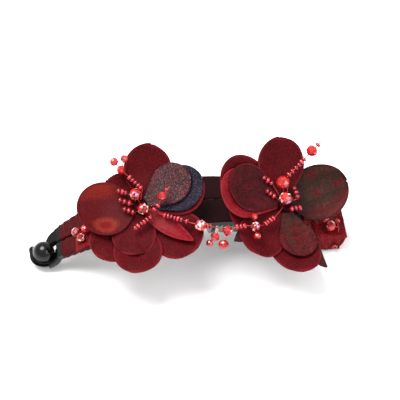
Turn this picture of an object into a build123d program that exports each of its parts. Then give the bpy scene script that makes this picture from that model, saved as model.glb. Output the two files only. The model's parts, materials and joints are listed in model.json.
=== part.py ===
"""Flower banana clip: two curved comb arms on a hinge pin, with a ball-and-cradle clasp.

Millimetres, +Z up. The clip lies on a table on its two ends, arched like a bridge:
X runs along it from the clasp (-X) to the hinge (+X), Y across it, and the teeth point down
to the hair.  The fixed arm is on -Y and carries both fabric flowers and all the beads.
The swing arm is on +Y, ends in the ball, and turns about the upright hinge pin.
"""
from build123d import *
from math import asin, cos, degrees, radians, sin
import os

# ---------------------------------------------------------------- driving dimensions
ARCH_RADIUS = 93.0          # of the middle of each arm's spine
ARCH_TOP = 25.5             # height of the spine's middle surface
ARM_REACH = 54.66           # from the middle of the clip to each end of the spine, level
SPINE_THICK = 2.2
ARM_GAP = 1.6               # between the two closed arms
ARM_WIDE = 11.6             # width of one arm at the middle
ARM_NARROW = 6.6            # width of one arm at each end

TOOTH_COUNT = 17
TOOTH_FIRST = -23.6         # angle of the fixed arm's first tooth
TOOTH_LAST = 28.0
TOOTH_THICK = 1.8
TOOTH_ROOT = 2.6
TOOTH_TIP = 1.0
TOOTH_DEPTH = 13.0          # from the spine's middle surface to the tip
TOOTH_DEPTH_END = 11.0
TOOTH_CROSS = 1.2           # how far each tip passes the middle of the clip

PIN_PAST_ARM = 3.84         # the pin, past the end of the spine
PIN_RADIUS = 1.4
PIN_HEAD_RADIUS = 2.3
PIN_HEAD = 0.8
EAR_RADIUS = 4.2
EAR_THICK = 2.1             # the fixed arm's two plates, above and below the knuckle
KNUCKLE_RADIUS = 4.0
KNUCKLE_THICK = 3.5
KNUCKLE_GAP = 0.25          # above and below the knuckle
RUNNING_GAP = 0.05          # radial, knuckle's hole on the pin
SWEEP_GAP = 0.3             # swing arm past the upper ear
RISER_THICK = 4.4           # upright block under each spine's hinge end
RISER_BACK = 0.76           # from its face to the end of the spine

BALL_RADIUS = 4.6
BALL_PAST_ARM = 5.84
BALL_Y = -2.0
NECK_RADIUS = 2.1
CRADLE_GAP = 0.35
CRADLE_WALL = 1.3
CRADLE_REACH = 6.5          # how far the trough runs under the ball past its centre

RIBBON_THICK = 0.4
RIBBON_FROM = -24.8
RIBBON_TO = 33.0
WRAP_THICK = 0.5
WRAP_FROM = -34.5
WRAP_TO = -25.0
HOOD_THICK = 0.7
HOOD_FROM = 29.5            # angle where the hood starts on the fixed arm
HOOD_REACH = 12.0           # how far it hangs out past the fixed arm
HOOD_PAST_PIN = 4.9

BOWL_RADIUS = 45.0          # every petal is a piece of a bowl this round
PETAL_THICK = 0.6
LEVEL_PITCH = 0.85          # between one layer of petals and the next
STEM_RADIUS = 3.0
PAD_RADIUS = 7.0
PAD_THICK = 1.2

SEED_RADIUS = 1.15
SEED_LENGTH = 1.25
SEED_PITCH = 1.38
BEAD_HOLE = 0.4
WIRE_RADIUS = 0.2
CRYSTAL_RADIUS = 2.5

# Each flower: middle, which way it faces, number of petal layers.
FLOWERS = {
    "left": (Vector(-20, -3.5, 29.0), Vector(-0.105, -0.466, 1), 5),
    "right": (Vector(38, -5.5, 23.0), Vector(0.213, -0.466, 1), 6),
}
# Petal: direction round the flower (0 = towards the hinge, 90 = up), length, width, layer.
PETALS = {
    "left": {
        "petal_top": (72, 25, 19.5, 3),
        "petal_upper_left_back": (133, 17.5, 16, 2),
        "petal_printed": (178, 25.4, 22.4, 3),
        "petal_lower_left_back": (225, 27.5, 19, 0),
        "petal_lower_front": (250, 21, 18, 2),
        "petal_lower_back": (260, 29, 20, 1),
        "petal_lower_right": (314, 30, 21, 0),
        "petal_blue_back": (11, 27, 18.5, 1),
        "petal_blue": (16, 27, 18.5, 2),
        "petal_organza": (29, 23.5, 16.5, 4),
        "leaf_red": (316, 27, 6.5, 3),
    },
    "right": {
        "petal_top": (92, 26.5, 20, 4),
        "petal_upper_left_back": (126, 21, 16, 2),
        "petal_left_outer": (155, 31, 24, 3),
        "petal_left_red": (167, 30, 20.5, 4),
        "petal_left_inner": (156, 26.5, 19.5, 5),
        "petal_left_back": (193, 25.5, 17, 1),
        "petal_lower_left": (226, 28, 20, 2),
        "petal_lower_right": (273, 30.5, 21, 1),
        "petal_lower_inner": (280, 23.5, 15.5, 3),
        "petal_plaid": (15, 26.5, 23, 2),
        "leaf_left": (212, 30.5, 9, 0),
        "leaf_right": (290, 31.5, 9, 0),
    },
}
# Bead strands on wire, as the points each wire runs through.  A point is (where, along, up,
# height, crystal, seeds): where is a flower, with the height over its bowl, or "clip" for plain
# x, y, z; crystal is the radius of the one threaded at that point; seeds says whether the wire
# leading to the point is threaded with seed beads.
STRANDS = {
    "left_centre": [
        [("left", 0, 1, 4.65, 0, 0), ("left", -1.4, 4.6, 7.2, 2.5, 0)],
        [("left", 0.6, 0, 4.65, 0, 0), ("left", 0.9, -1.9, 7.4, 2.5, 0)],
        [
            ("left", -2.6, 1.2, 4.65, 0, 0), ("left", -3.6, 1.2, 5.4, 0, 0),
            ("left", -8.7, 3.6, 5.4, 0, 1),
        ],
        [
            ("left", -1.6, 2.4, 4.65, 0, 0), ("left", -4.5, 5.6, 5.4, 0, 0),
            ("left", -8.9, 7.4, 5.4, 0, 1),
        ],
        [
            ("left", -1.6, -1.8, 4.65, 0, 0), ("left", -2.6, -2.8, 5.4, 0, 0),
            ("left", -7.4, -0.4, 5.4, 0, 1),
        ],
    ],
    "left_sprigs": [
        [
            ("left", 0.4, 2.7, 4.65, 0, 0), ("left", 1.6, 6.6, 5.6, 0, 0),
            ("left", -3.4, 12.4, 5.6, 0, 1),
            ("left", -5.9, 14.9, 6.6, 1.9, 0), ("left", -8.2, 18.0, 7.4, 1.9, 0),
        ],
        [("left", -5.9, 14.9, 6.6, 0, 0), ("left", -3.9, 18.8, 7.2, 1.9, 0)],
        [
            ("left", 2.2, -1.7, 4.65, 0, 0), ("left", 3.9, -5.4, 6.2, 0, 0),
            ("left", -3.8, -9.9, 6.0, 0, 1),
        ],
        [
            ("left", 2.7, 0.6, 4.65, 0, 0), ("left", 4.9, -3.4, 7.3, 0, 0),
            ("left", 7.6, -1.0, 7.4, 0, 1),
            ("left", 9.2, 1.8, 8.2, 2.2, 0), ("left", 12.9, 5.4, 7.6, 0, 1),
        ],
    ],
    "garland": [
        [
            ("left", 2.6, -1.2, 4.65, 0, 0), ("left", 8.6, -5.2, 5.4, 0, 0),
            ("left", 15.2, -8.6, 5.4, 0, 1),
            ("left", 18.6, -10.6, 5, 0, 1), ("clip", 1.8, -21.8, 36.8, 2.4, 0),
            ("clip", 6.4, -20.4, 34.0, 0, 1),
            ("clip", 12.9, -20.9, 30.4, 2.3, 0), ("clip", 16.1, -20.7, 31.8, 0, 0),
            ("right", -19.8, -10.0, 6.4, 0, 1), ("right", -15.4, -10.0, 5.2, 2.3, 0),
            ("right", -11.4, -9.0, 5, 0, 0), ("right", -6.2, -6.0, 6.2, 0, 1),
            ("right", -1.8, -1.6, 5.55, 0, 0),
        ],
        [("clip", 12.1, -23, 29.4, 0, 0), ("clip", 10.6, -25.6, 27.8, 2.2, 0)],
        [
            ("clip", 9.6, -20.6, 31.8, 0, 0), ("clip", 7.4, -23.2, 30.4, 2, 0),
            ("clip", 5, -24.6, 28.4, 1.7, 0),
        ],
        [("right", -15.4, -7.6, 5.4, 0, 0), ("right", -15.6, -5.9, 6.6, 1.6, 0)],
        [("right", -15.4, -12.4, 5.0, 0, 0), ("right", -15.6, -14.2, 5, 1.6, 0)],
    ],
    "right_centre": [
        [("right", -1, 2, 5.5, 0, 0), ("right", -1.4, 7.9, 8.6, 2.9, 0)],
        [("right", 0, 0, 5.5, 0, 0), ("right", -1.0, 1.2, 8.8, 2.8, 0)],
        [
            ("right", -2.7, 1, 5.5, 0, 0), ("right", -4.6, 2.6, 6.2, 0, 0),
            ("right", -8.8, 5.6, 6.2, 0, 1),
        ],
        [
            ("right", -2, 2.2, 5.5, 0, 0), ("right", -5.2, 7.8, 6.2, 0, 0),
            ("right", -9.6, 11, 6.2, 0, 1),
        ],
        [("right", 2.7, 1, 5.5, 0, 0), ("right", 4.9, 1.4, 6.2, 0, 0), ("right", 3.6, 6.6, 6.2, 0, 1)],
        [
            ("right", 0.6, -2.6, 5.5, 0, 0), ("right", 0.6, -2.7, 6.4, 0, 0),
            ("right", 6.0, -2.4, 6.2, 0, 1),
        ],
    ],
    "right_sprig": [
        [
            ("right", 0.8, 2.6, 5.5, 0, 0), ("right", 1.4, 10.8, 6.2, 0, 0),
            ("right", 5.8, 14.4, 6.2, 0, 1),
            ("right", 9.2, 17.4, 6.4, 0, 1), ("right", 11.6, 19.6, 7, 2.5, 0),
            ("right", 15.2, 22.4, 7, 0, 1),
        ],
    ],
    "clasp_beads": [
        [("clip", -45.5, -3.6, 16.55, 0, 0), ("clip", -47.0, -2.6, 17.9, 1.9, 0)],
        [
            ("clip", -43.9, -4.0, 17.3, 0, 0), ("clip", -43.0, -3.4, 20, 1.9, 0),
            ("clip", -40.6, -3.4, 21, 0, 1),
        ],
        [("clip", -44.9, -5.2, 16.8, 0, 0), ("clip", -45.4, -6.6, 18.8, 1.9, 0)],
    ],
    "hinge_beads": [
        [
            ("clip", 60.6, -11.2, 9.75, 0, 0), ("clip", 61, -9.6, 11.1, 0, 0),
            ("clip", 57.6, -9.4, 12.2, 2.3, 0),
            ("clip", 55.8, -5.6, 12.2, 1.9, 0),
        ],
        [
            ("clip", 60.9, -8.2, 9.7, 0, 0), ("clip", 60.9, -7.4, 11.0, 0, 0),
            ("clip", 60.9, -4.6, 11.0, 0, 1),
        ],
        [("clip", 58.9, -12.7, 3.6, 0, 0), ("clip", 58.9, -14.5, 3.6, 0, 1)],
    ],
}

# ---------------------------------------------------------------- worked-out values
ARCH_Z = ARCH_TOP - ARCH_RADIUS
SPINE_IN = ARCH_RADIUS - SPINE_THICK / 2
SPINE_OUT = ARCH_RADIUS + SPINE_THICK / 2
RIBBON_OUT = SPINE_OUT + RIBBON_THICK
GAP_HALF = ARM_GAP / 2
HINGE_ANGLE = degrees(asin(ARM_REACH / ARCH_RADIUS))
CLASP_ANGLE = -HINGE_ANGLE
PIN_X = ARM_REACH + PIN_PAST_ARM
RISER_TO = ARM_REACH - RISER_BACK
RISER_FROM = RISER_TO - RISER_THICK
BALL_X = -ARM_REACH - BALL_PAST_ARM
HOOD_END = PIN_X + HOOD_PAST_PIN
KNUCKLE_LOW = EAR_THICK + KNUCKLE_GAP
KNUCKLE_TOP = KNUCKLE_LOW + KNUCKLE_THICK
EAR_LOW = KNUCKLE_TOP + KNUCKLE_GAP
EAR_TOP = EAR_LOW + EAR_THICK
HOOD_LOW = EAR_TOP + PIN_HEAD
BALL_Z = BALL_RADIUS + CRADLE_GAP + CRADLE_WALL
BIG = 80.0                  # reach of the blocks that only cut
FIXED, SWING = -1, 1


def arch_point(angle, radius=ARCH_RADIUS, y=0.0):
    """A point over the arch at an angle from its top, positive towards the hinge."""
    a = radians(angle)
    return Vector(radius * sin(a), y, ARCH_Z + radius * cos(a))


def arch_frame(angle):
    """x along the arch towards the hinge, y across, z outwards."""
    a = radians(angle)
    return Plane(arch_point(angle), x_dir=(cos(a), 0, -sin(a)), z_dir=(sin(a), 0, cos(a)))


def block(x0, x1, y0, y1, z0, z1):
    return Pos((x0 + x1) / 2, (y0 + y1) / 2, (z0 + z1) / 2) * Box(x1 - x0, y1 - y0, z1 - z0)


def on_side(side, x0, x1, near, far, z0, z1):
    """A block on one arm's side, from near to far from the middle of the clip."""
    return block(x0, x1, min(side * near, side * far), max(side * near, side * far), z0, z1)


def post(radius, z0, z1):
    """An upright cylinder about the hinge pin's line."""
    return Pos(PIN_X, 0, (z0 + z1) / 2) * Cylinder(radius, z1 - z0)


def arch_solid(radius):
    return Pos(0, 0, ARCH_Z) * Rot(90, 0, 0) * Cylinder(radius, 2 * BIG)


def arch_band(r0, r1, angle0, angle1):
    """Part of a ring about the arch's centre, between two radii and two angles."""
    middle = (angle0 + angle1) / 2
    outline = Curve() + [
        ThreePointArc(arch_point(angle0, r0), arch_point(middle, r0), arch_point(angle1, r0)),
        Line(arch_point(angle1, r0), arch_point(angle1, r1)),
        ThreePointArc(arch_point(angle1, r1), arch_point(middle, r1), arch_point(angle0, r1)),
        Line(arch_point(angle0, r1), arch_point(angle0, r0)),
    ]
    return extrude(make_face(outline), amount=BIG / 2, dir=(0, 1, 0), both=True)


def arm_width(x):
    """Width of an arm seen from above: widest at the middle."""
    return ARM_WIDE - (ARM_WIDE - ARM_NARROW) * (x / ARM_REACH) ** 2


def arm_outline(side, grow=0.0, grow_in=0.0):
    """The arm's plan as a tall block: straight inner edge, bowed outer edge."""
    end = ARM_REACH + 4
    inner = GAP_HALF - grow_in
    corner, crown = GAP_HALF + arm_width(end) + grow, GAP_HALF + ARM_WIDE + grow
    edge = Curve() + [
        ThreePointArc((-end, corner), (0, crown), (end, corner)),
        Polyline((end, corner), (end, inner), (-end, inner), (-end, corner)),
    ]
    plan = extrude(make_face(edge), amount=BIG)
    return plan if side == SWING else mirror(plan, Plane.XZ)


# ---------------------------------------------------------------- comb teeth
def tooth(side, angle):
    """One crescent tooth: down from the spine's outer edge, then in under the hair channel."""
    frame = arch_frame(angle)
    edge = GAP_HALF + arm_width(frame.origin.X) - 0.3
    depth = TOOTH_DEPTH - (TOOTH_DEPTH - TOOTH_DEPTH_END) * (angle / HINGE_ANGLE) ** 2
    outer = [(edge, 0), (edge * 0.82, -depth * 0.66), (-TOOTH_CROSS, -depth)]
    inner = [
        (edge - TOOTH_ROOT, 0),
        (edge * 0.82 - TOOTH_ROOT * 0.8, -depth * 0.58),
        (-TOOTH_CROSS, -depth + TOOTH_TIP),
    ]
    outline = Curve() + [
        ThreePointArc(*outer),
        Line(outer[2], inner[2]),
        ThreePointArc(*reversed(inner)),
        Line(inner[0], outer[0]),
    ]
    section = Plane(frame.origin, x_dir=(0, side, 0), z_dir=frame.x_dir * side)
    return extrude(section * make_face(outline), amount=TOOTH_THICK / 2, both=True)


def teeth(side):
    pitch = (TOOTH_LAST - TOOTH_FIRST) / (TOOTH_COUNT - 1)
    shift = 0 if side == FIXED else pitch / 2
    return [tooth(side, TOOTH_FIRST + shift + n * pitch) for n in range(TOOTH_COUNT)]


# ---------------------------------------------------------------- arms
def spine(side):
    return arch_band(SPINE_IN, SPINE_OUT, CLASP_ANGLE, HINGE_ANGLE) & arm_outline(side)


def clasp_section(side, width, height, corner, at, lean):
    plane = Plane(at, x_dir=(0, 1, 0), z_dir=(-cos(radians(lean)), 0, -sin(radians(lean))))
    return plane * RectangleRounded(width, height, corner)


def swing_arm():
    """Spine and teeth, a knuckle on the pin, and a neck that curves in to the ball."""
    half = arm_width(ARM_REACH) / 2
    root = arch_point(CLASP_ANGLE + 0.5, y=GAP_HALF + half)
    ball = Vector(BALL_X, BALL_Y, BALL_Z)
    neck = loft([
        clasp_section(SWING, 2 * half, SPINE_THICK, 0.9, root, 36),
        clasp_section(
            SWING, 1.7 * half, SPINE_THICK * 1.5, 1.3, root * 0.48 + ball * 0.52 + Vector(0, 0.8, 0.5), 24
        ),
        clasp_section(
            SWING, 2 * NECK_RADIUS, 2 * NECK_RADIUS, NECK_RADIUS * 0.9, ball + Vector(0.8, 0.3, 0), 10
        ),
    ])
    body = spine(SWING) + neck + Pos(*ball) * Sphere(BALL_RADIUS) + teeth(SWING)
    outer = GAP_HALF + arm_width(RISER_TO)
    riser = on_side(SWING, RISER_FROM, RISER_TO, GAP_HALF, outer, KNUCKLE_LOW, BIG)
    riser = riser & arch_solid(ARCH_RADIUS)
    tongue = on_side(SWING, RISER_FROM, PIN_X, GAP_HALF, KNUCKLE_RADIUS, KNUCKLE_LOW, KNUCKLE_TOP)
    body = body + riser + tongue - post(EAR_RADIUS + SWEEP_GAP, KNUCKLE_TOP, BIG)
    body = body + post(KNUCKLE_RADIUS, KNUCKLE_LOW, KNUCKLE_TOP)
    return body - post(PIN_RADIUS + RUNNING_GAP, 0, BIG)


def cradle():
    """A shallow cup round the low front of the ball and an open trough under it."""
    inner = BALL_RADIUS + CRADLE_GAP
    outer = inner + CRADLE_WALL
    ball = Pos(BALL_X, BALL_Y, BALL_Z)
    cup = ball * (Sphere(outer) - Sphere(inner))
    cup = cup & block(-BIG, BIG, -BIG, BALL_Y, 0, BALL_Z - 2.2)
    ring = Pos(BALL_X, BALL_Y + CRADLE_REACH / 2, BALL_Z) * Rot(90, 0, 0) * (
        Cylinder(outer, CRADLE_REACH) - Cylinder(inner, CRADLE_REACH + 1)
    )
    trough = ring & block(-BIG, BALL_X + 2.6, BALL_Y - 1, BIG, 0, BALL_Z - 2.2)
    rounding = Pos(BALL_X, BALL_Y + CRADLE_REACH - outer, 0) * Cylinder(outer * 1.15, BIG)
    return cup + (trough & (rounding + block(-BIG, BIG, -BIG, BALL_Y + 1, 0, BIG)))


def fixed_arm():
    """Spine and teeth, two ears round the knuckle, and the clasp's cradle."""
    half = arm_width(ARM_REACH) / 2
    root = arch_point(CLASP_ANGLE + 0.5, y=-GAP_HALF - half)
    ball = Vector(BALL_X, BALL_Y, BALL_Z)
    end = ball + Vector(1.6, -3.4, -3.4)
    finger = loft([
        clasp_section(FIXED, 2 * half, SPINE_THICK, 0.9, root, 36),
        clasp_section(FIXED, 1.6 * half, SPINE_THICK * 1.3, 1.2, ball + Vector(3.6, -3.4, -2.0), 52),
        clasp_section(FIXED, 1.5 * half, SPINE_THICK * 1.1, 1.1, end, 12),
    ])
    finger = finger - Pos(*ball) * Sphere(BALL_RADIUS + CRADLE_GAP)
    finger = finger & block(-BIG, BIG, -BIG, BIG, 0, BIG)
    outer = GAP_HALF + arm_width(RISER_TO)
    riser = on_side(FIXED, RISER_FROM, RISER_TO, GAP_HALF, outer, 0, BIG) & arch_solid(ARCH_RADIUS)
    ears = [
        post(EAR_RADIUS, low, low + EAR_THICK)
        + on_side(FIXED, RISER_TO - 1, PIN_X, GAP_HALF, outer, low, low + EAR_THICK)
        for low in (0, EAR_LOW)
    ]
    body = spine(FIXED) + finger + cradle() + teeth(FIXED) + riser + ears[0] + ears[1]
    return body - post(PIN_RADIUS, -1, BIG)


def hinge_pin():
    head = Pos(0, 0, EAR_TOP + PIN_HEAD / 2) * Cylinder(PIN_HEAD_RADIUS, PIN_HEAD)
    return Pos(PIN_X, 0, 0) * head + post(PIN_RADIUS, 0, EAR_TOP)


# ---------------------------------------------------------------- fabric on the arms
def ribbon(side):
    end = RIBBON_TO if side == SWING else HOOD_FROM - 0.2
    return arch_band(SPINE_OUT, RIBBON_OUT, RIBBON_FROM, end) & arm_outline(side, grow=0.3)


def clasp_wrap(side):
    """Satin wound right round the spine beside the clasp."""
    outer = arch_band(SPINE_IN - WRAP_THICK, SPINE_OUT + WRAP_THICK, WRAP_FROM, WRAP_TO)
    outer = outer & arm_outline(side, grow=WRAP_THICK, grow_in=WRAP_THICK)
    return outer - (arch_band(SPINE_IN, SPINE_OUT, WRAP_FROM - 2, WRAP_TO + 2) & arm_outline(side))


def satin_patch():
    """A folded square of satin lying over the fixed arm's wrap."""
    under = SPINE_OUT + WRAP_THICK
    band = arch_band(under, under + 0.8, WRAP_FROM + 4.5, WRAP_TO - 0.6)
    return band & on_side(FIXED, -BIG, BIG, 1.2, GAP_HALF + ARM_WIDE - 1.6, 0, BIG)


def hinge_hood():
    """Satin folded over the hinge end, hanging down past the fixed arm and round the end."""
    left, low, high = ARM_REACH + 0.5, HOOD_LOW, HOOD_LOW + HOOD_THICK
    over = block(left, HOOD_END, -HOOD_REACH, 0, low, high) + post(EAR_RADIUS + 0.1, low, high)
    front = block(left, HOOD_END, -HOOD_REACH - HOOD_THICK, -HOOD_REACH, 0.6, high)
    end = block(HOOD_END, HOOD_END + HOOD_THICK, -HOOD_REACH - HOOD_THICK, 2.4, 0.6, high)
    tab = block(PIN_X, HOOD_END, 0, 2.4, low, high)
    flap = arch_band(SPINE_OUT, SPINE_OUT + HOOD_THICK, HOOD_FROM, HINGE_ANGLE + 0.1) & arm_outline(FIXED)
    return (over + front + end + tab + flap) - arch_solid(SPINE_OUT)


# ---------------------------------------------------------------- flowers
def flower_plane(name, height=0.0):
    """x along the flower towards the hinge, y up it, z out of its face."""
    middle, facing, _ = FLOWERS[name]
    facing = facing.normalized()
    along = (Vector(1, 0, 0) - facing * facing.X).normalized()
    return Plane(middle + facing * height, x_dir=along, z_dir=facing)


def flower_point(name, along, up, height):
    """A point over a flower's bowl."""
    rise = (along**2 + up**2) / (2 * BOWL_RADIUS)
    return flower_plane(name).from_local_coords(Vector(along, up, rise + height))


def petal_outline(length, width, pointed):
    """Teardrop, or a pointed leaf, from the flower's middle outwards."""
    if pointed:
        side = [(2.4, 1.6), (length * 0.45, width / 2), (length, 0)]
        mirrored = [(x, -y) for x, y in reversed(side)]
        edge = Curve() + [Spline(*side), Spline(*mirrored), Line(mirrored[-1], side[0])]
        return make_face(edge)
    tip = width / 2
    return make_hull((Pos(3.4, 0) * Circle(2.0)).edges() + (Pos(length - tip, 0) * Circle(tip)).edges())


def petal(name, angle, length, width, level, pointed):
    plane = flower_plane(name, level * LEVEL_PITCH)
    outline = Rot(0, 0, angle) * petal_outline(length, width, pointed)
    prism = extrude(outline, amount=30)
    shell = Pos(0, 0, BOWL_RADIUS) * (Sphere(BOWL_RADIUS) - Sphere(BOWL_RADIUS - PETAL_THICK))
    piece = (prism & shell) - Cylinder(STEM_RADIUS, BIG)
    return plane * piece


def flower_pad(name):
    """Pad under a flower, its stem through the petals, and a foot on the fixed arm's ribbon."""
    middle, _, layers = FLOWERS[name]
    plane = flower_plane(name)
    pad = Pos(0, 0, -PAD_THICK / 2) * Cylinder(PAD_RADIUS, PAD_THICK)
    stem_top = layers * LEVEL_PITCH + 0.25
    stem = Pos(0, 0, stem_top / 2) * Cylinder(STEM_RADIUS, stem_top)
    foot = block(middle.X - 5, middle.X + 5, -9.5, -1.2, 10, middle.Z - 0.3)
    under = Pos(0, 0, -25 - PAD_THICK / 2) * Box(BIG, BIG, 50)
    return (plane * (pad + stem) + (foot & plane * under)) - arch_solid(RIBBON_OUT)


# ---------------------------------------------------------------- beads
def seed_bead():
    """Barrel with rounded ends and a hole, along z."""
    barrel = Cylinder(SEED_RADIUS, SEED_LENGTH)
    barrel = fillet(barrel.edges(), SEED_LENGTH * 0.3)
    return barrel - Cylinder(BEAD_HOLE, 4)


def crystal_bead(radius):
    """Faceted ball: three eight-sided bars crossing at right angles, with a hole along z."""
    bar = extrude(RegularPolygon(radius * 0.88, 8, major_radius=False), amount=radius * 2, both=True)
    return (bar & Rot(90, 0, 22.5) * bar & Rot(0, 90, 0) * bar) - Cylinder(BEAD_HOLE, 4 * radius)


def strand_point(where, along, up, height):
    return Vector(along, up, height) if where == "clip" else flower_point(where, along, up, height)


def rod(start, end, radius, extra=0.0):
    line = Plane(start, z_dir=end - start)
    length = (end - start).length + extra
    return line * Pos(0, 0, length / 2) * Cylinder(radius, length)


def strand(name):
    """The wires, seed beads and crystals of one bead strand, as three groups."""
    wires, seeds, crystals = [], [], []
    seed = seed_bead()
    margin = SEED_RADIUS * 0.76          # keeps seeds apart where a strand turns
    for run in STRANDS[name]:
        points = [strand_point(*point[:4]) for point in run]
        for n, (start, end) in enumerate(zip(points, points[1:])):
            line = Plane(start, z_dir=end - start)
            length = (end - start).length
            radius, seeded = run[n + 1][4:]
            wires.append(rod(start, end, WIRE_RADIUS))
            if seeded:
                first = run[n][4] + margin
                room = length - radius - margin - first
                count = max(1, int(room / SEED_PITCH + 1.001))
                pitch = room / max(1, count - 1)
                seeds += [line * Pos(0, 0, first + k * pitch) * seed for k in range(count)]
            if radius:
                crystal = line * Pos(0, 0, length) * crystal_bead(radius)
                if n + 2 < len(points):
                    crystal = crystal - rod(end, points[n + 2], BEAD_HOLE)
                for other in STRANDS[name]:
                    if other[0][:4] == run[n + 1][:4]:
                        crystal = crystal - rod(end, strand_point(*other[1][:4]), BEAD_HOLE)
                crystals.append(crystal)
    wire = wires[0]
    for piece in wires[1:]:
        wire = wire + piece
    return {f"{name}_wire": wire, f"{name}_seeds": seeds, f"{name}_crystals": crystals}


NODES = {
    "fixed_arm": fixed_arm,
    "swing_arm": swing_arm,
    "hinge_pin": hinge_pin,
    "fixed_arm_ribbon": lambda: ribbon(FIXED),
    "swing_arm_ribbon": lambda: ribbon(SWING),
    "fixed_clasp_wrap": lambda: clasp_wrap(FIXED),
    "swing_clasp_wrap": lambda: clasp_wrap(SWING),
    "satin_patch": satin_patch,
    "hinge_hood": hinge_hood,
}


def build():
    shapes = {name: make() for name, make in NODES.items()}
    for flower, petals in PETALS.items():
        shapes[f"{flower}_flower_pad"] = flower_pad(flower)
        for name, sizes in petals.items():
            shapes[f"{flower}_{name}"] = petal(flower, *sizes, name.startswith("leaf"))
    for name in STRANDS:
        for node, group in strand(name).items():
            if group:
                shapes[node] = Compound(children=list(group)) if isinstance(group, list) else group
    return shapes


def main():
    os.makedirs("parts", exist_ok=True)
    shapes = build()
    whole = Compound(children=[Compound(shape.wrapped) for shape in shapes.values()]).bounding_box()
    to_origin = Pos(-whole.center().X, -whole.center().Y, -whole.min.Z)
    for name, shape in shapes.items():
        shape = to_origin * shape
        export_step(shape, f"parts/{name}.step")
        box = shape.bounding_box()
        corners = [round(v, 1) for v in (*box.min, *box.max)]
        print(name, len(shape.solids()), round(shape.volume, 1), corners)
    print(whole)


if __name__ == "__main__":
    main()
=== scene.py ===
"""Looks for the flower banana clip. Lengths are in millimetres until `place` turns them into
metres in the model's own frame. The fixed arm is on -Y and carries the flowers and beads."""
import json
import math
import random

import bmesh
import bpy
from mathutils import Matrix, Vector, noise


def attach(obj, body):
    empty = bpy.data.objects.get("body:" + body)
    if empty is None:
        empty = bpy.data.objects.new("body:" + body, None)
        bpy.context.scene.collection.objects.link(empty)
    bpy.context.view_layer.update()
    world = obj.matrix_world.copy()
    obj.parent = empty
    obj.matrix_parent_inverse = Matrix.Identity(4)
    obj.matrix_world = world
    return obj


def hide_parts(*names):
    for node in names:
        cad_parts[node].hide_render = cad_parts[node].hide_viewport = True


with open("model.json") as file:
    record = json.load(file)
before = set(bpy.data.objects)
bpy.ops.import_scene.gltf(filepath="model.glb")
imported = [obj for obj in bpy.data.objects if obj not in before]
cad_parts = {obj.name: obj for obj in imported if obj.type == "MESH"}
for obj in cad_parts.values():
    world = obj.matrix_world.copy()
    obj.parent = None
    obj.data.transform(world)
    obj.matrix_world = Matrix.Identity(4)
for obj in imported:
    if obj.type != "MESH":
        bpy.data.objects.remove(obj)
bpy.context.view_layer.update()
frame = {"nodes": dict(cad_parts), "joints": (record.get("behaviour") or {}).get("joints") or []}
FIXED, SWING = "fixed_arm_body", "swing_arm_body"
MM = 0.001
PETAL_CLOTH, RIBBON_CLOTH, WRAP_CLOTH, PATCH_CLOTH, HOOD_CLOTH = 0.42, 0.14, 0.12, 0.2, 0.3
RIBBON_START, FIXED_RIBBON_END, SWING_RIBBON_END = -24.8, 29.3, 33.0
WRAP_ROUND, WRAP_LENGTH = 22, 15
HOOD_LONG, HOOD_DEEP = 26, 25

# ------------ the clip's own dimensions
ARCH_RADIUS, ARCH_TOP, ARM_REACH = 93.0, 25.5, 54.66
SPINE_THICK, GAP_HALF, ARM_WIDE, ARM_NARROW = 2.2, 0.8, 11.6, 6.6
SPINE_OUT = ARCH_RADIUS + SPINE_THICK / 2
ARCH_Z = ARCH_TOP - ARCH_RADIUS
PIN = Vector((58.5, 0.0, 4.1))
EAR_RADIUS, HOOD_LOW, HOOD_END, HOOD_REACH = 4.2, 9.0, 63.4, 12.0
BOWL, LEVEL, PETAL_THICK = 45.0, 0.85, 0.6
FLOWERS = {
    "left": (Vector((-20, -3.5, 29.0)), Vector((-0.105, -0.466, 1)).normalized(), 5),
    "right": (Vector((38, -5.5, 23.0)), Vector((0.213, -0.466, 1)).normalized(), 6),
}
ORIGIN = Vector(frame["joints"][0]["pos_m"]) / MM - PIN
ORIGIN.z = 0.0


def place(point):
    """Millimetres on the clip to metres in the shared frame."""
    return (Vector(point) + ORIGIN) * MM


def arch(angle, radius, y):
    a = math.radians(angle)
    return Vector((radius * math.sin(a), y, ARCH_Z + radius * math.cos(a)))


def arm_width(x):
    return ARM_WIDE - (ARM_WIDE - ARM_NARROW) * (x / ARM_REACH) ** 2


def flower_axes(name):
    middle, facing, _ = FLOWERS[name]
    along = (Vector((1, 0, 0)) - facing * facing.x).normalized()
    return middle, along, facing.cross(along), facing


def on_flower(name, along, up, height):
    """A point over a flower's bowl."""
    middle, ax, ay, az = flower_axes(name)
    rise = BOWL - math.sqrt(BOWL**2 - min(along**2 + up**2, 1600))
    return middle + ax * along + ay * up + az * (rise + height)


def smooth(low, high, x):
    t = min(1.0, max(0.0, (x - low) / (high - low)))
    return t * t * (3 - 2 * t)


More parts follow.
